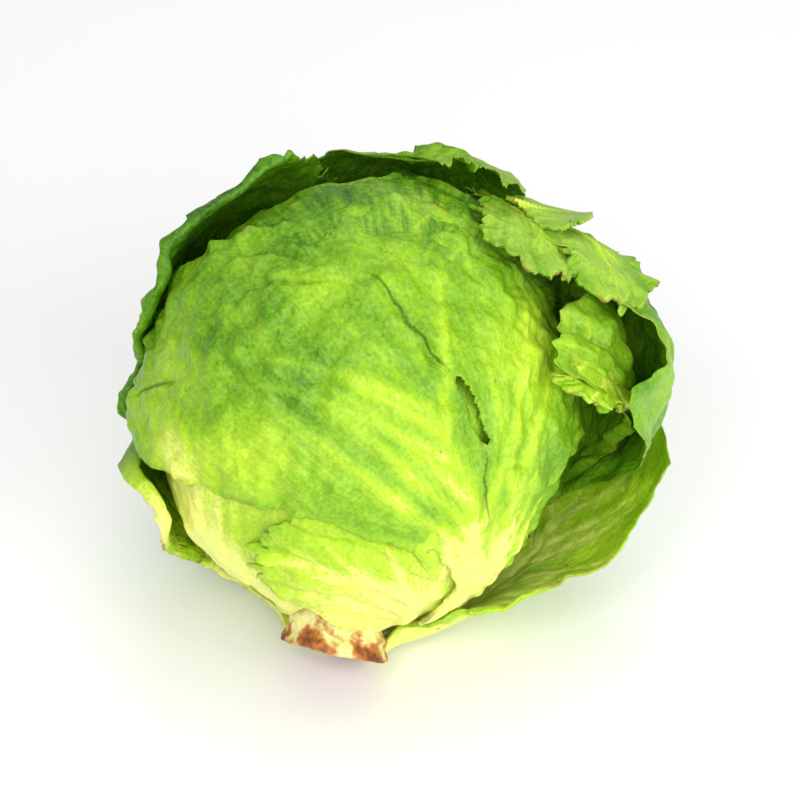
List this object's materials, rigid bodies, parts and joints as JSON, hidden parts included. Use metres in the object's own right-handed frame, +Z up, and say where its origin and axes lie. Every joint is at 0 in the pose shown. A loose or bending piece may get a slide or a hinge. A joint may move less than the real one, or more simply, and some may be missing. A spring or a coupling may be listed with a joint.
{
  "type": "head of crisphead lettuce",
  "caption": "Round crisphead lettuce lying on its side: a tight heart clasped by loose, ragged wrapper leaves, with a short cut stem",
  "frame": {"origin": "on the resting surface, under the middle of the object's bounding box", "axes": "+Z is up; the big front leaf and the cut stem face -Y; +X is the head's right as seen from the front, the longest way across; the head's own axis leans back about 36 degrees and 12 degrees to +X"},
  "size_m": [0.16, 0.14, 0.1399],
  "materials": {
    "heart_green": "waxy, satin leaf",
    "inner_cream": "waxy, satin leaf",
    "basal_lime": "waxy, satin leaf",
    "front_green": "waxy, satin leaf",
    "crown_green": "waxy, satin leaf",
    "upper_right_inner_green": "waxy, satin leaf",
    "left_wrapper_green": "waxy, satin leaf",
    "upper_right_wrapper_green": "waxy, satin leaf",
    "lower_right_wrapper_green": "waxy, satin leaf",
    "back_wrapper_green": "waxy, satin leaf",
    "cut_stem": "matt cut stem, browned by air"
  },
  "bodies": {
    "root": {"heart": "heart_green", "left_inner_leaf": "inner_cream", "basal_leaf": "basal_lime", "front_leaf": "front_green", "crown_inner_leaf": "crown_green", "upper_right_inner_leaf": "upper_right_inner_green", "left_wrapper_leaf": "left_wrapper_green", "upper_right_wrapper_leaf": "upper_right_wrapper_green", "lower_right_wrapper_leaf": "lower_right_wrapper_green", "back_wrapper_leaf": "back_wrapper_green", "stem": "cut_stem"}
  },
  "joints": []
}
